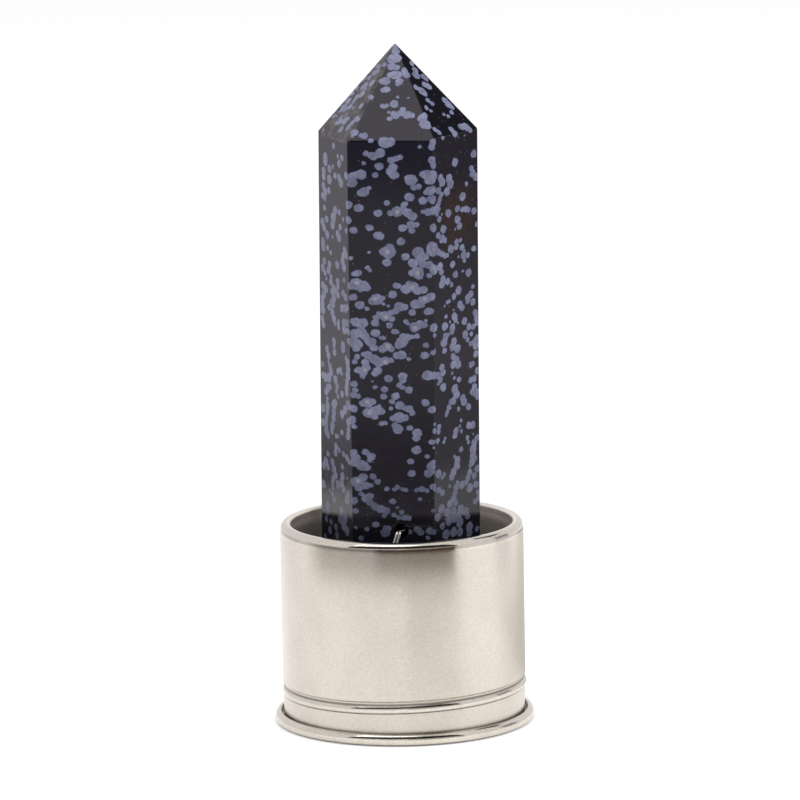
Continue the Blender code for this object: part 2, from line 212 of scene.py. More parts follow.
RIGHT_FLAKES = (
    (473.8, 153.8, 4), (455, 162, 4.2), (471.5, 168.5, 3.2), (472.5, 173.5, 4), (475.5, 177, 4),
    (440.5, 178, 3.8), (442, 182.5, 4.2), (449, 178.5, 4.4), (450.5, 184, 4.4), (466.4, 184, 2.5),
    (438.5, 190.5, 3.6), (441.5, 195, 3), (440, 199.5, 3), (438.8, 203, 2.8), (437.5, 206, 3),
    (438.3, 209, 3), (437, 213.5, 3), (447, 191.5, 4.3), (462.5, 196.7, 4.3), (457.5, 208.5, 3.4),
    (462.5, 209.5, 3), (465.5, 209, 3.4), (468.5, 209.8, 3), (473.8, 210.7, 3.5), (448.4, 213.5, 4.1),
    (442, 214.4, 1.4), (439.3, 219, 3.1), (457.5, 219.5, 4), (459.6, 226, 3.5), (455.3, 229.3, 1.8),
    (443.3, 229.3, 4.4), (477, 224, 3), (438, 235.5, 3.4), (442, 239, 4.2), (445, 240.5, 2.8),
    (456.5, 241.5, 3), (456.3, 246.5, 3.3), (460.5, 240.3, 2.2), (451, 249, 4.2), (462.3, 247.5, 3.3),
    (463.5, 255, 4), (464.5, 260, 2.8), (464, 251, 2.5), (468, 255, 2.9), (473.8, 248.5, 3.1),
    (458.4, 256.5, 1.3), (452.8, 264.4, 3.4), (439, 252.5, 3.4), (442, 254, 3.2), (445, 255.5, 3.2),
    (447, 255.5, 2.7), (440, 266.5, 4.3), (441.5, 272, 3.2), (463, 271, 1.6), (455.5, 274.5, 3.7),
    (468.5, 272.5, 4), (443, 279, 3.5), (442, 284, 4.5), (447.5, 281.5, 3.4), (451.5, 284.5, 2.7),
    (458.5, 290.5, 4.4), (454, 296, 3.2), (473.1, 286.4, 2.4), (471, 294, 3.8), (468, 298, 4),
    (467.5, 301, 2.6), (473, 301.8, 3.8), (460, 304.5, 3.9), (462, 307.5, 3.7), (447.5, 302.3, 2.1),
    (449.5, 301.3, 2.1), (445, 306, 1.5), (446, 316.3, 2.3), (453.5, 310.7, 1.5), (454.5, 316.5, 3.9),
    (455.5, 320, 3.1), (464.5, 321.2, 3.8), (475.5, 313, 3.8), (476.5, 318, 3.8), (477, 323, 3),
    (450, 322, 1.6), (458, 323, 1.4), (445, 326.5, 4.1), (452.5, 328, 4), (452, 331, 3.6),
    (468.9, 326.5, 3.6), (473.5, 326, 3.2), (465.1, 334.5, 4.1), (467.5, 339.6, 2.5), (471.4, 333.5, 2.4),
    (445.5, 337, 3.9), (444, 342.5, 4.5), (448, 334.5, 2), (444.6, 350.8, 3.1), (454, 341.5, 4.1),
    (452.5, 347, 4.1), (457.5, 348.5, 4.3), (470.5, 343.5, 2.8), (474, 342, 4), (476, 345, 4.5),
    (477, 338, 4), (476, 354, 3.6), (453, 356.5, 3.7), (456, 360, 4.3), (458, 364.5, 4.3), (453, 365, 3.9),
    (471, 364.5, 3.3), (473, 363.5, 2.7), (442, 367.5, 3.5), (443, 372.5, 3.9), (477.5, 371, 3.6),
    (438, 375.5, 3.8), (440.5, 380, 3.3), (438.5, 383.5, 2), (452.3, 373.3, 1.8), (454.2, 378.4, 2),
    (459.1, 379.3, 3.1), (471, 380, 3.5), (474, 378.5, 3.5), (474.5, 386.5, 3.8), (472.5, 391.5, 3.8),
    (475, 394, 3), (443.2, 387.3, 4.2), (455, 389, 4.7), (456.5, 394.5, 4.7), (453.5, 401, 3.7),
    (451, 402, 3), (462.5, 398, 3.7), (464, 402, 4.1), (477.8, 391, 3.2), (477.8, 397, 3.2), (449, 407.5, 3),
    (468.5, 406.5, 3.6), (458.5, 409, 2.5), (447.5, 411.5, 2.8), (446.5, 415, 2.5), (439, 427, 3),
    (438.5, 431.5, 3), (461, 420.5, 2), (459.8, 426.5, 2), (461.5, 431, 2), (469, 425.5, 3.6),
    (472.5, 425, 4), (456, 431, 3.6), (455, 436, 3), (437.8, 441, 3), (445, 438.5, 1.8), (444, 442, 2),
    (467.5, 437.5, 2.8), (468.5, 442, 2.2), (473.3, 434, 1.3), (477, 438, 3.4), (474.5, 442.5, 4),
    (473, 449, 4.6), (473, 455.5, 4.6), (472, 462, 4), (475, 458.5, 3), (470, 466, 2.4), (461.1, 449.4, 3),
    (454.4, 457, 2.3), (457.5, 460, 4), (457, 465.5, 4.2), (455, 469, 3), (453.5, 472, 4.4), (452, 477, 3.9),
    (438.5, 474, 4.2), (444.3, 475, 2.6), (442.5, 477.5, 2.4), (470, 472.5, 3.6), (468, 477.5, 3.6),
    (466.5, 482, 3), (474.2, 476, 3.6), (477.5, 468.5, 4), (462, 485, 4.3), (457.4, 482.6, 2.4),
    (456, 487.5, 3.8), (449.9, 486, 2), (470, 488, 4.4), (476, 484.5, 3.8), (439, 490, 3.4),
    (442.5, 493, 3.3), (455, 493, 3.5), (454, 498.5, 4), (455.5, 503, 3.5), (478, 492, 3), (478.5, 498, 3),
    (475, 501.5, 3), (441.5, 509, 4.5), (438, 517, 4), (450, 504, 4), (447, 512.5, 4.4), (453, 511.5, 4.6),
    (461, 509.5, 5), (466, 511.5, 4.5), (467.5, 516, 3.5), (458.5, 516, 4.6), (449, 520.5, 5), (460, 522, 5),
    (454.5, 519, 4), (442.5, 526, 3.4), (469.5, 527, 5), (446, 534, 5), (453.5, 532, 5), (460, 532, 4.4),
    (469.5, 533, 4), (477, 528.5, 3),
)
LEFT_FLAKES = (
    (333.4, 146, 3.2), (325.3, 157, 4.8), (325.3, 161.5, 4.6), (337.8, 156.6, 2.2), (341.8, 157.8, 3.4),
    (339, 163.6, 4), (323.7, 171, 4.4), (323.7, 175.5, 4.4), (329.5, 169, 4), (332.6, 166.4, 2.6),
    (335, 175.8, 3.3), (329.4, 179.5, 4.9), (339, 177.5, 4.2), (341, 183, 4.7), (346, 176, 4),
    (323.5, 185.5, 4.2), (325, 192, 4.5), (323, 196, 3.8), (325, 198.5, 2.8), (328.9, 190.7, 3.4),
    (324.4, 207.6, 3.2), (339, 212.2, 3.1), (335, 210.5, 4.6), (333.5, 217.5, 5.3), (332.5, 224.5, 4.9),
    (326.5, 219, 3.7), (322.5, 222, 4), (324, 227.5, 4), (343, 219.2, 2.4), (340, 227, 3.2),
    (327.2, 234.7, 4.4), (337.5, 233.5, 3.8), (339, 237.5, 4.7), (346, 231, 3), (332.6, 237, 1.8),
    (323, 241.5, 4.2), (323.5, 247, 4.4), (327.7, 247.8, 3), (330.6, 252.4, 2.8), (344.5, 250.5, 3.7),
    (346, 255, 3.9), (343, 256, 3.5), (342.5, 261.5, 4.1), (344, 267.5, 4.3), (324.4, 260.8, 3.7),
    (329.5, 264.5, 3.9), (337.3, 265, 4.1), (323, 268, 4.2), (325, 273, 3.2), (328.5, 270, 4),
    (331, 276.3, 2.7), (344, 280, 2.8), (326.5, 279, 1.9), (337.5, 281, 3.5), (338, 286.5, 3.3),
    (331, 282, 3.5), (333.5, 287.5, 3.9), (336, 291, 3.9), (338, 295, 3.5), (323, 285, 4.2), (326, 289, 4.2),
    (324, 294, 4.2), (322.5, 299, 4.2), (332.5, 292, 4.5), (334, 298, 4.7), (332, 303.5, 4.7),
    (329, 307.5, 3.7), (333.5, 305, 3.2), (343, 293.5, 3.7), (345.5, 297.5, 3.7), (322.5, 304, 4),
    (323, 310, 4.5), (332.5, 313, 4.3), (334, 319, 3.9), (335, 323, 3), (342, 308.5, 4.1), (345, 308.5, 4.3),
    (347, 307.5, 3.2), (322.5, 319, 3.8), (323.5, 324.5, 3.8), (338.3, 322.5, 3.5), (338.5, 327, 3.2),
    (344, 323, 4.3), (347, 323, 4), (344.5, 330, 4.4), (347.8, 331.5, 3.6), (334, 341, 3.7), (334, 345.5, 3),
    (342.9, 346, 4.4), (343, 349.5, 4), (348.5, 341, 3), (327, 348.5, 3.9), (328.5, 355.5, 4),
    (328.6, 361.5, 2.2), (334.5, 352.1, 3.9), (345.9, 358.6, 2.6), (347.5, 362.5, 4), (348, 369, 4.4),
    (348, 376, 4.6), (347, 382.5, 4), (330, 366.5, 4.1), (331, 372, 4.5), (329, 377.5, 5),
    (325.5, 377.5, 4.5), (323, 375, 3.8), (322.5, 364, 3), (338, 371.5, 3.7), (340.5, 370, 3),
    (341.5, 373.5, 2.6), (335.5, 380, 4.4), (337, 386, 3.8), (336.5, 391, 3), (338, 396.5, 2.6),
    (328, 388, 4.3), (326, 391.5, 3.7), (330, 386.5, 3.2), (342.1, 394.1, 3.5), (346.5, 388, 4.1),
    (346.8, 393.5, 3.7), (327.2, 398.8, 2.7), (335.6, 403, 3.6), (327.5, 405.5, 4.4), (327.5, 412, 3.4),
    (334, 405, 5), (334, 412, 4.1), (333.5, 418.5, 4.1), (332.5, 426, 4.7), (332, 431, 3.2), (323, 408, 4.6),
    (342, 414, 4.5), (345, 410, 4.5), (348, 405, 5), (326.5, 418, 4), (326, 424, 4.5), (326.5, 431, 4.5),
    (328, 435.5, 3.6), (323, 422, 4), (341.9, 432.4, 3.2), (336.3, 436.2, 3), (338.4, 436.6, 2),
    (348.5, 422, 4.4), (348.5, 430, 3.6), (348, 436, 4.2), (336, 446.5, 4), (335.5, 452.5, 3.6),
    (327.9, 453.9, 2.8), (339.3, 450, 2.8), (343.7, 454.4, 3.3), (326, 461, 4.6), (324, 465, 4.4),
    (328, 467, 3), (347, 457.5, 3.6), (349, 461.5, 3.6), (332.5, 462.5, 4.1), (334, 469, 4.5),
    (335.5, 475, 4), (342.3, 466.5, 3.1), (347, 477.8, 1.8), (342.5, 476.5, 4.4), (341.5, 483, 4.8),
    (343.5, 489, 4), (333.5, 478.5, 4), (332.5, 483, 3.2), (338, 484.5, 4.5), (323.5, 484, 4.6),
    (333, 488, 2.6), (329.7, 490, 2), (332.5, 494, 3.2), (334, 499.5, 3.6), (348, 494.5, 4.1),
    (347, 500, 4.7), (327.5, 506, 4), (327.5, 512, 3), (341.4, 511.4, 4.6), (340.5, 519, 5), (345.1, 519, 5),
    (343.7, 526.4, 5), (347, 531, 5), (326.5, 519, 3.6), (331, 522, 3.4), (330, 530, 3.6), (336, 527, 3.6),
    (337, 535, 4), (325.5, 537, 3.4),
)
FRONT_FACET_FLAKES = (
    (395, 47, 2.2), (396, 51, 3.2), (393, 59, 4), (397, 58, 3.4), (389.5, 59.5, 2), (392, 66.5, 3.2),
    (397, 67.5, 2.4), (394.5, 75, 3.6), (398.5, 75, 2.8), (391, 75, 2.6), (399.5, 81.5, 3), (398, 84, 2),
    (385.5, 81, 3.6), (382, 81, 2.4), (386.5, 89.5, 3), (383.5, 90, 2.4), (398, 97, 1.3), (408, 98, 1.1),
    (394, 104, 3.2), (383, 106, 2.2), (386, 105.5, 1.8), (403, 109.5, 2.4), (400.5, 113.5, 2.8),
    (394, 114, 2.4), (389.5, 118.5, 2.2), (407, 115, 3.2), (411, 115.5, 2.6), (396, 117, 2.2),
    (389, 112, 1.3), (422.5, 118, 3.4), (426, 114.5, 2.6), (425, 124, 4), (428, 126, 2.6), (364, 136, 2.8),
    (361.5, 135.5, 2), (371, 140.5, 2.2),
)
LEFT_FACET_FLAKES = (
    (356, 119, 2.6), (352, 123, 2.6), (348, 128, 2.6), (345, 121, 3), (341, 129, 2.4), (354, 131, 3.4),
    (358, 127, 2.4), (352, 135, 2.6), (361, 121, 1.8), (362, 94, 2.6), (357, 97, 2.4), (354, 101, 2),
    (370, 96.5, 2.4), (372, 83, 2.6), (377, 84, 1.8), (369, 78, 2.2), (374, 73, 2.2), (384, 64, 2),
    (344, 108, 2.4), (361, 106, 2.2), (368, 103, 1.4),
)
RIGHT_FACET_FLAKES = (
    (404.5, 70, 2.4), (407, 74.5, 2.6), (415, 70, 2.4), (416, 75, 3), (412, 63.5, 2), (423, 76.5, 2.2),
    (426, 79, 2), (424.5, 84.5, 2.2), (428.5, 86.5, 2.6), (416, 87.5, 2.2), (422, 91, 3), (425, 94, 2),
    (428, 100.5, 2), (432, 103.5, 1.8), (426.5, 107.5, 1.8), (431, 111, 1.4), (445, 100.5, 2.6),
    (448.5, 104.5, 3), (452, 107.5, 1.8), (451.5, 112.5, 1.8), (444, 114.5, 1.4), (448.5, 116.5, 1.4),
    (435, 129.5, 2), (439, 132.5, 2), (451.5, 129.5, 2.2), (455, 133.5, 2.6), (461.5, 127, 2.8),
    (466, 127, 3.4), (469.5, 129.5, 2.4), (467, 136, 2), (443.5, 138, 1.6), (460.5, 137, 1.6),
)

# How the flakes are squeezed before they are laid out round, so that they come out wide and low
FLAKE_STRETCH = Vector((0.85, 0.85, 1.0))

# How much larger than they were read the flakes are made, on the flats and on the facets of the tip
FLAT_GROWTH = 1.05
FRONT_FACET_GROWTH = 1.25
SIDE_FACET_GROWTH = 1.5

# Small node groups, because Blender slows down as one grows
FLAKES_PER_GROUP = 50

# How far touching flakes melt together, and the depth in a flake where there is none
MELT = 0.12
NO_FLAKE = -9.0

# Pale cores of some of the flakes on the front, across and down in pixels
PALE_CORES = (
    (397, 212), (387.5, 252), (417.5, 273), (435, 268), (356.5, 283), (375, 299), (386, 317), (412.5, 287.5),
    (425, 299), (415, 328), (388, 346), (385, 362), (365, 370), (367.5, 402), (369, 413), (358, 481),
)
CORE_RADIUS = 0.26

# Where the flakes crowd together elsewhere, and where the glass is nearly clear of them:
# place in the stone (x, y, z), reach, and how much the share of flakes changes
FLAKE_CROWDS = (
    ((-7.0, -1.0, 105.0), 9.0, 0.25),
    ((0.0, 3.0, 115.0), 7.0, 0.35),
)

# Depth under the faces with listed flakes within which no other flake has its middle, and what is taken
# from the share of flakes there
CLEAR_DEPTH = 1.25
CLEARED = 3.0

# Random flakes in the stone, in layers: size of a cell, smallest and largest radius, share of the cells
# that hold a flake, and an offset that makes each layer different. One more layer lies deep in the glass.
FLAKE_LAYERS = (
    (1.9, 0.50, 1.05, 0.46, (0.0, 0.0, 0.0)), (1.7, 0.45, 0.85, 0.40, (17.3, 5.1, 9.7)),
    (1.5, 0.38, 0.70, 0.34, (31.9, 14.4, 3.3)), (1.3, 0.14, 0.36, 0.20, (47.1, 29.6, 12.5)),
)
SUNK_LAYER = (2.6, 0.4, 1.1, 0.16, (8.8, 41.0, 22.6))

# Colours of the stone, where the glass is brown and dusty, and how deep it is milky
GLASS = (0.0060, 0.0055, 0.0080)
BROWN_GLASS = (0.0175, 0.0100, 0.0055)
MILKY_GLASS = (0.078, 0.065, 0.062)
DUST = (0.18, 0.17, 0.17)
SUNK_FLAKE = (0.14, 0.15, 0.21)
FLAKE_EDGE = (0.128, 0.143, 0.235)
FLAKE_MIDDLE = (0.136, 0.142, 0.210)
PALE_CORE = (0.300, 0.275, 0.310)
BROWN_PLACE = (10.5, -6.8, 89.0)
DUSTY_PLACE = (11.0, -8.0, 99.0)
MILKY_DEPTH = 0.4

# Colours of the steel, and how its marks and grain are squeezed
CUP_STEEL = (0.71, 0.655, 0.585)
DISC_STEEL = (0.62, 0.60, 0.57)
WIRE_STEEL = (0.93, 0.92, 0.90)
MARKS_STRETCH = (0.35, 0.35, 11.0)
GRAIN_STRETCH = (1.0, 1.0, 1.9)

# Studio, in metres: the floor, the height of the cards that lie on it, and the colours of the cards
FLOOR_RADIUS = 6.0
FLOOR_COLOUR = (0.88, 0.88, 0.88)
FLOOR_GLOW = (0.2, 0.2, 0.2)
ON_FLOOR = 0.0006
BLACK = (0.0, 0.0, 0.0)
DARK = (0.02, 0.02, 0.02)
GREY = (0.55, 0.52, 0.48)
WHITE = (1.0, 1.0, 1.0)
PALE = (0.90, 0.87, 0.93)


class Nodes:
    """A short way to write a node tree."""

    def __init__(self, tree):
        self.tree = tree
        self.shader = tree.nodes.get("Principled BSDF")

    def add(self, kind, values=None, **settings):
        node = self.tree.nodes.new(kind)
        for name, value in settings.items():
            setattr(node, name, value)
        for name, value in (values or {}).items():
            self.feed(node.inputs[name], value)
        return node

    def feed(self, socket, value):
        if isinstance(value, bpy.types.NodeSocket):
            self.tree.links.new(value, socket)
        else:
            socket.default_value = value

    def surface(self, name, value):
        """Sets an input of the shader, to a constant or to what a node gives."""
        self.feed(self.shader.inputs[name], value)

    def math(self, operation, first, second=0.0, third=0.0):
        node = self.add("ShaderNodeMath", operation=operation)
        for socket, value in zip(node.inputs, (first, second, third)):
            self.feed(socket, value)
        return node.outputs[0]

    def times(self, first, second):
        return self.math("MULTIPLY", first, second)

    def vector(self, operation, first, second=(0.0, 0.0, 0.0)):
        node = self.add("ShaderNodeVectorMath", operation=operation)
        self.feed(node.inputs[0], first)
        self.feed(node.inputs[1], second)
        single = operation in ("LENGTH", "DISTANCE", "DOT_PRODUCT")
        return node.outputs["Value"] if single else node.outputs[0]

    def scaled(self, vector, amount):
        node = self.add("ShaderNodeVectorMath", operation="SCALE")
        self.feed(node.inputs[0], vector)
        self.feed(node.inputs["Scale"], amount)
        return node.outputs[0]

    def spread(self, value, low, high, to_low=0.0, to_high=1.0, smooth=True):
        node = self.add("ShaderNodeMapRange", interpolation_type="SMOOTHSTEP" if smooth else "LINEAR")
        for name, given in (("Value", value), ("From Min", low), ("From Max", high),
                            ("To Min", to_low), ("To Max", to_high)):
            self.feed(node.inputs[name], given)
        return node.outputs[0]

    def mix(self, share, first, second):
        node = self.add("ShaderNodeMix", data_type="RGBA")
        self.feed(node.inputs[0], share)
        self.feed(node.inputs[6], colour4(first))
        self.feed(node.inputs[7], colour4(second))
        return node.outputs[2]

    def place(self):
        """Where the surface point is in the object, in millimetres."""
        coordinates = self.add("ShaderNodeTexCoord").outputs["Object"]
        return self.scaled(coordinates, 1.0 / MM)

    def noise(self, place, scale, detail=2.0, roughness=0.5, output="Fac"):
        return self.add("ShaderNodeTexNoise", {"Vector": place, "Scale": scale, "Detail": detail,
                                               "Roughness": roughness}).outputs[output]

    def bump(self, height, distance_mm, strength):
        return self.add("ShaderNodeBump", {"Height": height, "Distance": distance_mm * MM,
                                           "Strength": strength}).outputs[0]

    def apart(self, vector):
        return self.add("ShaderNodeSeparateXYZ", {"Vector": vector}).outputs


def colour4(value):
    if isinstance(value, tuple):
        return (*value, 1.0)
    return value


def new_material(name):
    material = bpy.data.materials.new(name)
    material.use_nodes = True
    return material, Nodes(material.node_tree)


# Planes of the stone, and lines of sight through the photograph

def camera_axes():
    """Directions to the right, up and back of the camera."""
    elevation = math.radians(CAMERA_ELEVATION)
    roll = math.radians(CAMERA_ROLL)
    back = Vector((0.0, -math.cos(elevation), math.sin(elevation)))
    level_right = Vector((1.0, 0.0, 0.0))
    level_up = back.cross(level_right)
    right = level_right * math.cos(roll) + level_up * math.sin(roll)
    up = level_up * math.cos(roll) - level_right * math.sin(roll)
    return right, up, back


def outward_of(name):
    around = math.radians(FLATS[name][0])
    return Vector((math.cos(around), math.sin(around), 0.0))


def hole_entry():
    """Where the axis of the drilled hole meets the front flat."""
    compass, distance, _, _ = FLATS["front"]
    return Vector((0.0, -distance / math.cos(math.radians(compass + 90)), HOLE_HEIGHT))


def flat_plane(name):
    """A point on a side flat and the direction that the flat faces."""
    _, distance, lean, _ = FLATS[name]
    tilt = math.radians(lean)
    outward = outward_of(name)
    normal = outward * math.cos(tilt) + Vector((0.0, 0.0, math.sin(tilt)))
    return outward * distance + Vector((0.0, 0.0, MIDDLE_HEIGHT)), normal


def facet_plane(name):
    """The tip and the direction that the facet above a flat faces."""
    _, distance, lean, shoulder = FLATS[name]
    outward = outward_of(name)
    reach = distance - math.tan(math.radians(lean)) * (shoulder - MIDDLE_HEIGHT) - TIP.dot(outward)
    facing = outward * (TIP.z - shoulder) + Vector((0.0, 0.0, reach))
    return TIP, facing.normalized()


def seen_on(plane, across, down):
    """Where the line of sight through a pixel of the photograph meets a plane."""
    point, normal = plane
    right, up, back = camera_axes()
    middle = FRAME_PIXELS / 2
    eye = CAMERA_TARGET + back * CAMERA_DISTANCE
    sight = right * (across - middle) / PIXELS_PER_MM + up * (middle - down) / PIXELS_PER_MM
    sight -= back * CAMERA_DISTANCE
    return eye + sight * (normal.dot(point - eye) / normal.dot(sight))


# Obsidian

def flake_density(nodes, cell_place, everywhere):
    """Share of cells that hold a flake, at a place in the stone: none where the flakes are listed."""
    drift = nodes.noise(cell_place, 0.09, 1.0)
    share = nodes.spread(drift, 0.35, 0.65, everywhere - 0.18, everywhere + 0.18)
    for middle, reach, change in FLAKE_CROWDS:
        away = nodes.vector("DISTANCE", cell_place, middle)
        share = nodes.math("ADD", share, nodes.spread(away, reach * 0.35, reach, change, 0.0))
    unstretched = nodes.vector("DIVIDE", cell_place, tuple(FLAKE_STRETCH))
    for plane in (flat_plane("front"), flat_plane("right"), flat_plane("left"), facet_plane("front"),
                  facet_plane("right")):
        near = nodes.math("LESS_THAN", depth_under(nodes, unstretched, plane), CLEAR_DEPTH)
        share = nodes.math("SUBTRACT", share, nodes.times(near, CLEARED))
    return share


def flake_layer(nodes, place, cell, smallest, largest, share, offset):
    """Round flakes of random size, one at most in each cell. Returns how deep the place is in one."""
    moved = nodes.vector("ADD", place, offset)
    cells = nodes.add("ShaderNodeTexVoronoi", {"Vector": moved, "Scale": 1.0 / cell, "Randomness": 1.0},
                      feature="F1", voronoi_dimensions="3D")
    random_red, random_green, _ = nodes.apart(cells.outputs["Color"])
    cell_place = nodes.vector("SUBTRACT", cells.outputs["Position"], offset)
    density = flake_density(nodes, cell_place, share)
    present = nodes.math("LESS_THAN", random_green, density)
    size = nodes.math("POWER", random_red, 1.4)
    radius = nodes.spread(size, 0.0, 1.0, smallest / cell, largest / cell, smooth=False)
    radius = nodes.times(radius, present)
    inside = nodes.math("SUBTRACT", radius, cells.outputs["Distance"])
    return nodes.times(inside, cell)


def depth_under(nodes, place, plane):
    """How far a place is behind a plane of the stone."""
    point, normal = plane
    along = nodes.vector("DOT_PRODUCT", place, tuple(normal))
    return nodes.math("SUBTRACT", normal.dot(point), along)


def flake_group(name, plane, flakes, growth):
    """A node group that gives how deep a place is in one of the flakes read on a face."""
    tree = bpy.data.node_groups.new(name, "ShaderNodeTree")
    tree.interface.new_socket("Place", in_out="INPUT", socket_type="NodeSocketVector")
    tree.interface.new_socket("Inside", in_out="OUTPUT", socket_type="NodeSocketFloat")
    nodes = Nodes(tree)
    place = nodes.add("NodeGroupInput").outputs["Place"]
    inside = NO_FLAKE
    for across, down, half_height in flakes:
        middle = seen_on(plane, across, down) * FLAKE_STRETCH
        away = nodes.vector("DISTANCE", place, tuple(middle))
        blob = nodes.math("SUBTRACT", half_height * growth / PIXELS_PER_MM, away)
        inside = nodes.math("SMOOTH_MAX", inside, blob, MELT)
    nodes.add("NodeGroupOutput", {"Inside": inside})
    return tree


def seen_flakes(nodes, place):
    """How deep the place is in one of the flakes that the photograph shows."""
    faces = (
        ("front_flakes", flat_plane("front"), FRONT_FLAKES, FLAT_GROWTH),
        ("right_flakes", flat_plane("right"), RIGHT_FLAKES, FLAT_GROWTH),
        ("left_flakes", flat_plane("left"), LEFT_FLAKES, FLAT_GROWTH),
        ("front_facet_flakes", facet_plane("front"), FRONT_FACET_FLAKES, FRONT_FACET_GROWTH),
        ("left_facet_flakes", facet_plane("left"), LEFT_FACET_FLAKES, SIDE_FACET_GROWTH),
        ("right_facet_flakes", facet_plane("right"), RIGHT_FACET_FLAKES, SIDE_FACET_GROWTH),
    )
    inside = NO_FLAKE
    for name, plane, flakes, growth in faces:
        for start in range(0, len(flakes), FLAKES_PER_GROUP):
            tree = flake_group(name, plane, flakes[start:start + FLAKES_PER_GROUP], growth)
            found = nodes.add("ShaderNodeGroup", {"Place": place}, node_tree=tree).outputs["Inside"]
            inside = nodes.math("SMOOTH_MAX", inside, found, MELT)
    return inside


def wobble(nodes, place, scale, roughness):
    """A small random shift, which makes round outlines irregular."""
    return nodes.vector("SUBTRACT", nodes.noise(place, scale, 2.0, roughness, "Color"), (0.5, 0.5, 0.5))


def obsidian_material():
    """Black glass with blue-grey flakes all through it."""
    material, nodes = new_material("snowflake_obsidian")
    place = nodes.place()
    height = nodes.apart(place)[2]
    stretched = nodes.vector("MULTIPLY", place, tuple(FLAKE_STRETCH))
    lobes = wobble(nodes, stretched, 0.75, 0.55)
    ragged = nodes.scaled(wobble(nodes, stretched, 2.6, 0.6), 0.30)
    bent = nodes.vector("ADD", nodes.vector("ADD", stretched, nodes.scaled(lobes, 1.1)), ragged)
    bent_a_little = nodes.vector("ADD", nodes.vector("ADD", stretched, nodes.scaled(lobes, 0.45)), ragged)

    inside = seen_flakes(nodes, bent_a_little)
    for layer in FLAKE_LAYERS:
        inside = nodes.math("MAXIMUM", inside, flake_layer(nodes, bent, *layer))
    cover = nodes.spread(inside, -0.05, 0.10)
    sunk = flake_layer(nodes, bent, *SUNK_LAYER)

    # The wall of the drilled hole: rough and dark, with no flakes
    from_entry = nodes.vector("SUBTRACT", place, tuple(hole_entry()))
    from_axis = nodes.vector("LENGTH", nodes.vector("CROSS_PRODUCT", from_entry, tuple(outward_of("front"))))
    drilled = nodes.math("LESS_THAN", from_axis, HOLE_DIAMETER / 2 + HOLE_EDGE)
    cover = nodes.times(cover, nodes.math("SUBTRACT", 1.0, drilled))

    # The glass: black, brown in one place, milky just under the left facet, with faint grey dust
    brown = nodes.spread(nodes.vector("DISTANCE", place, BROWN_PLACE), 2.5, 8.0, 1.0, 0.0)
    patchy = nodes.noise(place, 0.35, 3.0)
    brown = nodes.times(brown, nodes.spread(patchy, 0.30, 0.5))
    glass = nodes.mix(brown, GLASS, BROWN_GLASS)
    milky = nodes.math("LESS_THAN", depth_under(nodes, place, facet_plane("left")), MILKY_DEPTH)
    clouded = nodes.noise(place, 0.55, 4.0, 0.65)
    milky = nodes.times(milky, nodes.spread(clouded, 0.38, 0.66, 0.1, 0.9))
    glass = nodes.mix(milky, glass, MILKY_GLASS)
    dust = nodes.add("ShaderNodeTexVoronoi", {"Vector": place, "Scale": 1.6, "Randomness": 1.0})
    dust_red, dust_green, _ = nodes.apart(dust.outputs["Color"])
    speck = nodes.math("LESS_THAN", dust.outputs["Distance"], nodes.times(dust_red, 0.22))
    dusty = nodes.spread(nodes.vector("DISTANCE", place, DUSTY_PLACE), 4.0, 12.0, 0.8, 0.25)
    speck = nodes.times(speck, nodes.math("LESS_THAN", dust_green, dusty))
    glass = nodes.mix(nodes.times(speck, 0.35), glass, DUST)
    glass = nodes.mix(nodes.spread(sunk, 0.0, 0.8, 0.0, 0.22), glass, SUNK_FLAKE)

    # The flakes: bluish at the edge, greyer inside, some with a pale core, darker near the foot with painted
    # shade and lighter on the tip's facets with painted light
    cloudy = nodes.noise(place, 1.6, 3.0, 0.6)
    mottled = nodes.noise(place, 0.5, 1.0)
    flake = nodes.mix(nodes.spread(inside, 0.05, 0.38), FLAKE_EDGE, FLAKE_MIDDLE)
    tone_and_painted_light = nodes.spread(cloudy, 0.3, 0.7, 0.80, 1.12)
    tone_and_painted_light = nodes.times(tone_and_painted_light, nodes.spread(mottled, 0.35, 0.65, 0.84, 1.10))
    # Painted shade: the flakes darken towards the foot, near the cup
    tone_and_painted_light = nodes.times(tone_and_painted_light, nodes.spread(height, 40.0, 56.0, 0.66, 1.0))
    # Painted light: the flakes brighten on the facets of the tip
    tone_and_painted_light = nodes.times(tone_and_painted_light, nodes.spread(height, 101.0, 106.0, 1.0, 1.28))
    flake = nodes.scaled(flake, tone_and_painted_light)
    core = NO_FLAKE
    for across, down in PALE_CORES:
        away = nodes.vector("DISTANCE", place, tuple(seen_on(flat_plane("front"), across, down)))
        core = nodes.math("MAXIMUM", core, nodes.math("SUBTRACT", CORE_RADIUS, away))
    core = nodes.spread(core, -0.35, 0.20, 0.0, 0.6)
    core = nodes.math("MAXIMUM", core, nodes.spread(inside, 0.75, 1.1, 0.0, 0.3))
    flake = nodes.mix(core, flake, PALE_CORE)

    colour = nodes.mix(cover, glass, flake)
    nodes.surface("Base Color", colour)
    wear = nodes.noise(place, 0.6, 4.0, 0.6)
    polish = nodes.spread(wear, 0.3, 0.7, 0.07, 0.13)
    polish = nodes.math("MULTIPLY_ADD", drilled, 0.5, polish)
    nodes.surface("Roughness", nodes.math("MULTIPLY_ADD", cover, 0.06, polish))
    ripple = nodes.noise(place, 0.12, 1.0)
    nodes.surface("Normal", nodes.bump(ripple, 0.02, 0.6))
    nodes.surface("IOR", 1.34)
    nodes.surface("Specular Tint", (0.94, 0.885, 1.0, 1.0))
    return material


# Steel

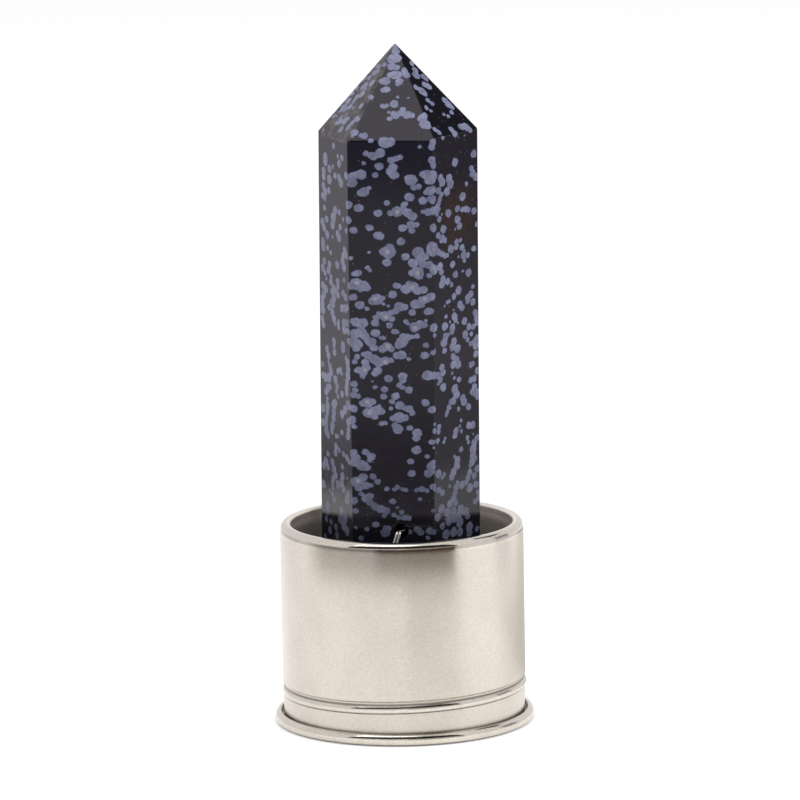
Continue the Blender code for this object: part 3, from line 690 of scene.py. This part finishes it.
def steel_material(name, colour, satin, polish, bright_stretches, shade=None):
    """Stainless steel turned on a lathe: satin with fine marks round it, polished where a mask says.

    bright_stretches takes the nodes, the radius, x and the height, and gives the share of polish. shade
    takes the same, and gives the share of its brightness that the steel keeps: painted shade, and painted
    light where it is above one.
    """
    material, nodes = new_material(name)
    place = nodes.place()
    x, y, z = nodes.apart(place)
    flat = nodes.add("ShaderNodeCombineXYZ", {"X": x, "Y": y}).outputs[0]
    radius = nodes.vector("LENGTH", flat)
    bright = bright_stretches(nodes, radius, x, z)
    dull = nodes.math("SUBTRACT", 1.0, bright)

    marks = nodes.noise(nodes.vector("MULTIPLY", place, MARKS_STRETCH), 1.0, 3.0, 0.6)
    grain = nodes.noise(nodes.vector("MULTIPLY", place, GRAIN_STRETCH), 2.2, 3.0, 0.7)
    clouds = nodes.noise(place, 0.12, 3.0, 0.5)
    tone_and_shade = nodes.spread(clouds, 0.3, 0.7, 0.96, 1.02)
    tone_and_shade = nodes.times(tone_and_shade, nodes.spread(grain, 0.25, 0.75, 0.88, 1.08))
    # Where a shade mask is given, its painted shade and painted light go into the colour
    if shade is not None:
        tone_and_shade = nodes.times(tone_and_shade, shade(nodes, radius, x, z))
    tone_and_shade_xyz = nodes.add("ShaderNodeCombineXYZ", {"X": tone_and_shade, "Y": tone_and_shade, "Z": tone_and_shade}).outputs[0]
    nodes.surface("Base Color", nodes.vector("MULTIPLY", tone_and_shade_xyz, colour))
    nodes.surface("Metallic", 1.0)

    rough = nodes.math("MULTIPLY_ADD", dull, satin - polish, polish)
    rough = nodes.math("MULTIPLY_ADD", nodes.math("SUBTRACT", marks, 0.5), 0.08, rough)
    nodes.surface("Roughness", rough)
    nodes.surface("Anisotropic", 0.75)
    nodes.surface("Anisotropic Rotation", 0.25)
    tangent = nodes.add("ShaderNodeTangent", direction_type="RADIAL", axis="Z")
    nodes.surface("Tangent", tangent.outputs[0])
    height = nodes.math("MULTIPLY_ADD", marks, 0.6, grain)
    height = nodes.times(height, nodes.math("MULTIPLY_ADD", dull, 0.85, 0.15))
    nodes.surface("Normal", nodes.bump(height, 0.018, 0.6))
    return material


def cup_polish(nodes, radius, x, height):
    """The rim, the bead and the foot are polished, the inside is rough, and the rest is satin."""
    level = nodes.math("MULTIPLY_ADD", x, -GROOVE_SLOPE, height)
    rim = nodes.spread(height, RIM_HEIGHT - 2.2, RIM_HEIGHT - 0.9)
    bead_top = nodes.spread(level, GROOVE_BOTTOM - 0.3, GROOVE_BOTTOM - 0.1, 1.0, 0.0)
    bead = nodes.times(bead_top, nodes.spread(level, BAND_TOP - 0.1, BAND_TOP + 0.1))
    foot = nodes.times(nodes.spread(radius, CUP_RADIUS, CUP_RADIUS + 0.25),
                       nodes.spread(height, 2.2, 3.0, 1.0, 0.0))
    inside = nodes.spread(radius, RIM_INNER_RADIUS + 0.1, RIM_INNER_RADIUS + 0.4, -1.0, 0.0)
    polished = nodes.math("MAXIMUM", nodes.math("MAXIMUM", rim, bead), foot)
    return nodes.math("ADD", polished, inside)


def painted_shade_line(nodes, value, middle, half_width, keeps):
    """A soft line of painted shade where a value is near its middle. It gives the share of brightness that
    stays.
    """
    away = nodes.math("ABSOLUTE", nodes.math("SUBTRACT", value, middle))
    return nodes.spread(away, half_width * 0.4, half_width, keeps, 1.0)


def cup_painted_shade(nodes, radius, x, height):
    """Painted shade in the groove, below the bead and the rim and behind the foot's lip, and a painted
    contact shadow under the foot.

    Inside, painted shade darkens the wall the deeper it lies, and painted light brightens it near the rim.
    """
    level = nodes.math("MULTIPLY_ADD", x, -GROOVE_SLOPE, height)
    outside = nodes.math("GREATER_THAN", radius, RIM_INNER_RADIUS + 0.7)
    # Painted shade along the groove, under the bead and under the rim
    lines = painted_shade_line(nodes, level, GROOVE_BOTTOM + 0.1, 0.26, 0.36)
    lines = nodes.times(lines, painted_shade_line(nodes, level, BEAD_HEIGHT - BEAD_HALF_HEIGHT, 0.24, 0.55))
    lines = nodes.times(lines, painted_shade_line(nodes, height, RIM_HEIGHT - 1.2, 0.36, 0.62))
    # Painted shade in the trough behind the foot's lip
    trough = painted_shade_line(nodes, radius, BAND_RADIUS + 0.3, 0.32, 0.55)
    trough = nodes.math("MAXIMUM", trough, nodes.spread(height, 2.0, 2.6))
    lines = nodes.times(lines, trough)
    # Painted contact shadow along the bottom of the foot
    lines = nodes.times(lines, painted_shade_line(nodes, height, 0.0, 0.40, 0.30))
    # Inside the cup: painted shade that deepens downwards, and painted light just under the rim
    within = nodes.spread(height, RIM_HEIGHT - 3.2, RIM_HEIGHT - 0.6, 0.50, 1.25)
    within = nodes.times(within, nodes.math("SUBTRACT", 1.0, outside))
    return nodes.math("MULTIPLY_ADD", lines, outside, within)


def disc_polish(nodes, radius, x, height):
    """A little shine in the middle of the disc."""
    return nodes.spread(radius, 0.0, 5.0, 0.15, 0.0)


def wire_polish(nodes, radius, x, height):
    """Bright all along, and a little more so where the wire shows."""
    return nodes.spread(height, 20.0, 30.0, 0.9, 1.0)


# Shapes

def add_object(name, data):
    thing = bpy.data.objects.new(name, data)
    bpy.context.scene.collection.objects.link(thing)
    return thing


def mesh_of(shape, name):
    """Turns an edited shape into a mesh, and lets the shape go."""
    mesh = bpy.data.meshes.new(name)
    shape.to_mesh(mesh)
    shape.free()
    return mesh


def cylinder(diameter, length, segments):
    shape = bmesh.new()
    bmesh.ops.create_cone(shape, cap_ends=True, segments=segments, radius1=diameter / 2 * MM,
                          radius2=diameter / 2 * MM, depth=length * MM)
    return shape


def add_piece(name, mesh, node):
    piece = add_object(name, mesh)
    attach(piece, BODY)
    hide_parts(node)
    return piece


def arc(centre, radius, start_degrees, end_degrees):
    """Points along an arc of a profile, both ends included."""
    sweep = end_degrees - start_degrees
    count = max(3, math.ceil(abs(sweep) / ARC_STEP_DEGREES))
    points = []
    for step in range(count + 1):
        angle = math.radians(start_degrees + sweep * step / count)
        points.append((centre[0] + radius * math.cos(angle), centre[1] + radius * math.sin(angle)))
    return points


def foot_profile():
    """The trough behind the foot's lip, the lip and the outside of the curl."""
    curl_centre = (FOOT_RADIUS - FOOT_CURL, FOOT_CURL)
    lip_round = FOOT_LIP / 2
    lip_reach = FOOT_CURL - lip_round
    lip_centre = (curl_centre[0] + lip_reach * math.cos(math.radians(FOOT_LIP_ANGLE)),
                  curl_centre[1] + lip_reach * math.sin(math.radians(FOOT_LIP_ANGLE)))
    trough_outer = lip_centre[0] - lip_round
    trough_middle = (BAND_RADIUS + trough_outer) / 2
    trough_round = (trough_outer - BAND_RADIUS) / 2
    trough = arc((trough_middle, FOOT_CURL), trough_round, 180, 360)
    lip = arc(lip_centre, lip_round, 180, FOOT_LIP_ANGLE)
    curl = arc(curl_centre, FOOT_CURL, FOOT_LIP_ANGLE, -90)
    return trough + lip + curl[1:]


def bead_profile():
    """The crowned outside of the bead, from its top down."""
    points = []
    for step in range(-BEAD_STEPS, BEAD_STEPS + 1):
        part = step / BEAD_STEPS
        points.append((BEAD_RADIUS - BEAD_CROWN * part * part, BEAD_HEIGHT - BEAD_HALF_HEIGHT * part))
    return points


def cup_profile():
    """Radius and height of the cup, from the middle of its floor over the rim to under the foot."""
    rim_inner = (RIM_INNER_RADIUS + RIM_INNER_ROUND, RIM_HEIGHT - RIM_INNER_ROUND)
    rim_outer = (CUP_RADIUS - RIM_OUTER_ROUND, RIM_HEIGHT - RIM_OUTER_ROUND)
    points = [(0.0, CUP_FLOOR)]
    points += arc((LOWER_BORE_RADIUS - FLOOR_FILLET, CUP_FLOOR + FLOOR_FILLET), FLOOR_FILLET, -90, 0)
    points += [(LOWER_BORE_RADIUS, LEDGE_HEIGHT), (RIM_INNER_RADIUS, LEDGE_HEIGHT)]
    points += arc(rim_inner, RIM_INNER_ROUND, 180, 90)
    points += arc(rim_outer, RIM_OUTER_ROUND, 90, 0)
    points += [(CUP_RADIUS, WALL_BOTTOM), (GROOVE_RADIUS, GROOVE_TOP), (GROOVE_RADIUS, GROOVE_BOTTOM)]
    points += bead_profile()
    points += [(BAND_RADIUS, BAND_TOP)]
    points += foot_profile()
    points += [(0.0, 0.0)]
    return points


def make_cup(steel):
    shape = bmesh.new()
    corners = [shape.verts.new((radius * MM, 0.0, height * MM)) for radius, height in cup_profile()]
    for first, second in zip(corners, corners[1:]):
        shape.edges.new((first, second))
    mesh = mesh_of(shape, "steel_cup_surface")
    cup = add_piece("steel_cup_surface", mesh, "steel_cup")
    mesh.materials.append(steel)
    modify(cup, "SCREW", axis="Z", angle=math.tau, steps=TURNING_STEPS, render_steps=TURNING_STEPS,
           use_merge_vertices=True, merge_threshold=MERGE_DISTANCE * MM, use_smooth_shade=True)
    slope_groove(cup.data)
    sharpen(cup.data, CUP_CRISP)
    keep_flats_flat(cup)


def modify(piece, kind, **settings):
    """Replaces the piece's mesh with what a modifier makes of it."""
    modifier = piece.modifiers.new(kind, kind)
    for name, value in settings.items():
        setattr(modifier, name, value)
    bpy.context.view_layer.update()
    evaluated = piece.evaluated_get(bpy.context.evaluated_depsgraph_get())
    baked = bpy.data.meshes.new_from_object(evaluated)
    piece.modifiers.clear()
    piece.data = baked


def slope_groove(mesh):
    """The groove and bead were rolled slightly out of level, rising to the right."""
    for vertex in mesh.vertices:
        height = vertex.co.z / MM
        outside = math.hypot(vertex.co.x, vertex.co.y) / MM > LOWER_BORE_RADIUS + 1.0
        if outside and BAND_TOP - 0.1 < height < WALL_BOTTOM + 0.1:
            vertex.co.z += GROOVE_SLOPE * vertex.co.x


def sharpen(mesh, degrees):
    """Keeps edges crisp where the surface turns sharply."""
    for face in mesh.polygons:
        face.use_smooth = True
    mesh.set_sharp_from_angle(angle=math.radians(degrees))


def make_disc(steel):
    shape = cylinder(2 * DISC_RADIUS, DISC_TOP - DISC_BOTTOM, TURNING_STEPS)
    bmesh.ops.translate(shape, verts=shape.verts, vec=(0.0, 0.0, (DISC_BOTTOM + DISC_TOP) / 2 * MM))
    mesh = mesh_of(shape, "carrier_disc_surface")
    disc = add_piece("carrier_disc_surface", mesh, "carrier_disc")
    mesh.materials.append(steel)
    for x, y in WIRE_HOLES:
        drill(disc, WIRE_HOLE_DIAMETER, DRILL_LENGTH, Vector((x, y, DISC_BOTTOM)), Vector((0.0, 0.0, 1.0)))
    soften(disc, DISC_ROUND, segments=3)
    sharpen(disc.data, DISC_CRISP)


def drill(piece, diameter, length, middle, direction):
    """Cuts a round hole and removes the drill again."""
    shape = cylinder(diameter, length, DRILL_SIDES)
    turned = direction.to_track_quat("Z", "Y").to_matrix().to_4x4()
    bmesh.ops.transform(shape, matrix=Matrix.Translation(middle * MM) @ turned, verts=shape.verts)
    cutter = add_object("drill", mesh_of(shape, "drill"))
    modify(piece, "BOOLEAN", operation="DIFFERENCE", solver="EXACT", object=cutter)
    bpy.data.objects.remove(cutter, do_unlink=True)


def soften(piece, width, segments):
    """Small rounding along every sharp edge."""
    modify(piece, "BEVEL", width=width * MM, segments=segments, limit_method="ANGLE",
           angle_limit=math.radians(SOFTENED))


def grind(shape, point, normal):
    """Takes off everything beyond a plane and closes the cut."""
    everything = shape.verts[:] + shape.edges[:] + shape.faces[:]
    result = bmesh.ops.bisect_plane(shape, geom=everything, plane_co=point * MM, plane_no=normal,
                                    dist=1e-7, clear_outer=True)
    rim = [part for part in result["geom_cut"] if isinstance(part, bmesh.types.BMEdge)]
    bmesh.ops.contextual_create(shape, geom=rim)


def make_crystal(glass):
    """A block ground to six flats and six facets, with worn edges and a drilled hole."""
    height = TIP.z - FOOT_HEIGHT
    shape = bmesh.new()
    bmesh.ops.create_cube(shape, size=1.0)
    block = Matrix.Translation(Vector((0.0, 0.0, FOOT_HEIGHT + (height + BLOCK_SPARE) / 2)) * MM)
    sides = Vector((BLOCK_WIDTH, BLOCK_WIDTH, height + BLOCK_SPARE)) * MM
    block = block @ Matrix.Diagonal((*sides, 1.0))
    bmesh.ops.transform(shape, matrix=block, verts=shape.verts)
    for name in FLATS:
        grind(shape, *flat_plane(name))
        grind(shape, *facet_plane(name))
    bmesh.ops.recalc_face_normals(shape, faces=shape.faces)
    mesh = mesh_of(shape, "crystal_surface")
    crystal = add_piece("crystal_surface", mesh, "crystal")
    mesh.materials.append(glass)
    soften(crystal, EDGE_WEAR, segments=4)
    direction = -outward_of("front")
    drill(crystal, HOLE_DIAMETER, BLOCK_WIDTH, hole_entry() + direction * FLATS["front"][1], direction)
    sharpen(crystal.data, STONE_CRISP)
    keep_flats_flat(crystal)


def keep_flats_flat(piece):
    """Lets the large faces decide the shading, so that they reflect as true planes."""
    modify(piece, "WEIGHTED_NORMAL", mode="FACE_AREA", weight=100, keep_sharp=True)


def smooth_route(points, spacing):
    """Evenly spaced points on a smooth curve through the given ones."""
    padded = [points[0] * 2 - points[1], *points, points[-1] * 2 - points[-2]]
    route = []
    for before, start, end, after in zip(padded, padded[1:], padded[2:], padded[3:]):
        count = max(1, round((end - start).length / spacing))
        for step in range(count):
            t = step / count
            route.append(0.5 * (2 * start + (end - before) * t
                                + (2 * before - 5 * start + 4 * end - after) * t ** 2
                                + (3 * start - before - 3 * end + after) * t ** 3))
    route.append(points[-1])
    return route


def make_wire(steel):
    """One wire that goes twice round, through the stone and under the disc."""
    turn = [Vector(point) for point in WIRE_TURN]
    second_turn = [point + STRAND_SPACING for point in turn]
    points = smooth_route(turn + second_turn + [Vector(WIRE_END)], WIRE_POINT_SPACING)
    curve = bpy.data.curves.new("tie_wire_surface", "CURVE")
    curve.dimensions = "3D"
    curve.bevel_depth = STRAND_DIAMETER / 2 * MM
    curve.bevel_resolution = 4
    curve.use_fill_caps = True
    spline = curve.splines.new("POLY")
    spline.points.add(len(points) - 1)
    for knot, point in zip(spline.points, points):
        knot.co = (*(point * MM), 1.0)
    curve.materials.append(steel)
    add_piece("tie_wire_surface", curve, "tie_wire")


# Studio

def plain_material(name, colour, glow):
    """Matt surface that also gives off a little light of its own."""
    material, nodes = new_material(name)
    nodes.surface("Base Color", (*colour, 1.0))
    nodes.surface("Roughness", 0.9)
    nodes.surface("Specular IOR Level", 0.0)
    nodes.surface("Emission Color", (*glow, 1.0))
    nodes.surface("Emission Strength", 1.0)
    return material, nodes


def stage_for_reflections(card):
    """Hides a part of the studio from the camera, from diffuse light and from shadows, so that only
    reflections show it.
    """
    card.visible_camera = False
    card.visible_diffuse = False
    card.visible_shadow = False


def make_floor():
    bpy.ops.mesh.primitive_circle_add(vertices=96, radius=FLOOR_RADIUS, fill_type="NGON")
    floor = bpy.context.active_object
    floor.name = "pale_floor"
    material, _ = plain_material("pale_floor", FLOOR_COLOUR, FLOOR_GLOW)
    floor.data.materials.append(material)


def make_card(name, middle, width, height, turn_degrees, glow, lay_flat=False, low_glow=None,
              fade_share=0.12):
    """A studio card that only shows in the reflections, as a photographer's flags do.

    With low_glow it fades to that colour at its lower edge, over a share of its height.
    """
    bpy.ops.mesh.primitive_plane_add(size=1.0, location=middle)
    card = bpy.context.active_object
    card.name = name
    card.scale = (width, height, 1.0)
    card.rotation_euler = (0.0 if lay_flat else math.radians(90), 0.0, math.radians(turn_degrees))
    material, nodes = plain_material(name, BLACK, glow)
    if low_glow is not None:
        across = nodes.apart(nodes.add("ShaderNodeTexCoord").outputs["Generated"])[1]
        fade = nodes.mix(nodes.spread(across, 0.0, fade_share), low_glow, glow)
        nodes.surface("Emission Color", fade)
    card.data.materials.append(material)
    stage_for_reflections(card)


def make_collar():
    """A dark strip bent round the front of the cup, which gives the shade under the rim.

    It fades out at its upper and lower edges and towards the left, and ends sharply at the right.
    """
    low, high = COLLAR_HEIGHTS
    left, right = COLLAR_ENDS
    shape = bmesh.new()
    columns = []
    for step in range(COLLAR_STEPS + 1):
        around = math.radians(left + (right - left) * step / COLLAR_STEPS)
        flat = Vector((math.sin(around), -math.cos(around), 0.0)) * COLLAR_RADIUS
        columns.append([shape.verts.new((flat + Vector((0.0, 0.0, height))) * MM) for height in (low, high)])
    for (below, above), (next_below, next_above) in zip(columns, columns[1:]):
        shape.faces.new((below, next_below, next_above, above))
    collar = add_object("dark_collar", mesh_of(shape, "dark_collar"))
    material, nodes = plain_material("dark_collar", BLACK, COLLAR_GLOW)
    x, y, z = nodes.apart(nodes.place())
    around = nodes.math("ARCTAN2", x, nodes.times(y, -1.0))
    most = nodes.spread(around, math.radians(left), math.radians(COLLAR_MOST), 0.0, COLLAR_MOST_SHARE)
    rest = nodes.spread(around, math.radians(COLLAR_FULL[0]), math.radians(COLLAR_FULL[1]), 0.0,
                        1.0 - COLLAR_MOST_SHARE)
    solid = nodes.times(nodes.spread(z, low, low + COLLAR_FADE), nodes.math("ADD", most, rest))
    solid = nodes.times(solid, nodes.spread(z, high - COLLAR_TOP_FADE, high, 1.0, 0.0))
    nodes.surface("Alpha", solid)
    collar.data.materials.append(material)
    stage_for_reflections(collar)


def make_light(name, place, aim, width, height, power, shows_in_reflections=True):
    light = bpy.data.lights.new(name, "AREA")
    light.shape = "RECTANGLE"
    light.size = width
    light.size_y = height
    light.energy = power
    lamp = add_object(name, light)
    lamp.location = place
    lamp.visible_glossy = shows_in_reflections
    lamp.rotation_mode = "QUATERNION"
    lamp.rotation_quaternion = (Vector(aim) - Vector(place)).to_track_quat("-Z", "Y")


def make_world(strength):
    world = bpy.data.worlds.new("studio")
    world.use_nodes = True
    background = world.node_tree.nodes["Background"]
    background.inputs["Color"].default_value = (1.0, 1.0, 1.0, 1.0)
    background.inputs["Strength"].default_value = strength
    bpy.context.scene.world = world


def make_camera():
    right, up, back = camera_axes()
    data = bpy.data.cameras.new("camera")
    data.sensor_width = SENSOR
    data.lens = CAMERA_DISTANCE * PIXELS_PER_MM * SENSOR / FRAME_PIXELS
    data.clip_start = CAMERA_CLIP[0]
    data.clip_end = CAMERA_CLIP[1]
    camera = add_object("camera", data)
    place = (CAMERA_TARGET + back * CAMERA_DISTANCE) * MM
    turned = Matrix((right, up, back)).transposed().to_4x4()
    camera.matrix_world = Matrix.Translation(place) @ turned
    bpy.context.scene.camera = camera


def make_studio():
    """Floor, world, lights and cards. Each card has its middle, width, height, turn and glow."""
    make_floor()
    make_world(strength=0.85)
    make_light("overhead", (-0.16, -0.30, 0.72), (0.0, 0.0, 0.10), 0.52, 0.52, 1.7)
    make_light("fill_right", (0.48, -0.06, 0.30), (0.0, 0.0, 0.07), 0.30, 0.30, 1.0,
               shows_in_reflections=False)
    make_collar()
    make_card("dark_front_high", (0.005, -0.20, 0.257), 0.51, 0.35, 0.0, DARK)
    make_card("dim_front_strip", (-0.049, -0.20, 0.073), 0.06, 0.018, 0.0, (0.30, 0.29, 0.52),
              low_glow=(0.95, 0.95, 0.95), fade_share=0.5)
    make_card("grey_front_low", (0.14, -0.21, 0.04), 0.26, 0.08, 0.0, GREY)
    make_card("grey_front_floor", (0.135, -0.18, ON_FLOOR), 0.25, 0.10, 0.0, GREY, lay_flat=True)
    make_card("grey_front_left_floor", (-0.07, -0.28, ON_FLOOR), 0.12, 0.14, 0.0, (0.45, 0.42, 0.47),
              lay_flat=True, low_glow=WHITE, fade_share=0.5)
    make_card("pale_right_low", (0.22, 0.066, 0.06), 0.09, 0.12, 90.0, (0.28, 0.24, 0.31),
              low_glow=(1.0, 0.97, 1.02), fade_share=0.62)
    make_card("dim_right_foot", (0.219, 0.066, 0.010), 0.09, 0.020, 90.0, (0.62, 0.60, 0.63))
    make_card("grey_right_floor", (0.06, 0.11, ON_FLOOR), 0.10, 0.18, -19.0, (0.68, 0.66, 0.62),
              lay_flat=True)
    make_card("dark_right_high", (0.16, 0.11, 0.24), 0.10, 0.12, 125.0, (0.06, 0.06, 0.07))
    make_card("pale_left", (-0.23, 0.20, 0.13), 0.22, 0.26, 46.6, PALE)
    make_card("grey_left_floor", (-0.20, 0.185, ON_FLOOR), 0.20, 0.11, 226.6, (0.38, 0.36, 0.40),
              lay_flat=True, low_glow=PALE, fade_share=0.9)
    bpy.context.scene.view_settings.view_transform = "Standard"


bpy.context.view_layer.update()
# The cup's steel carries painted shade in its hollows, a painted contact shadow, and painted shade and light
# inside
make_cup(steel_material("cup_steel", CUP_STEEL, 0.32, 0.12, cup_polish, cup_painted_shade))
make_disc(steel_material("disc_steel", DISC_STEEL, 0.36, 0.2, disc_polish))
make_crystal(obsidian_material())
make_wire(steel_material("wire_steel", WIRE_STEEL, 0.2, 0.12, wire_polish))
make_camera()
make_studio()
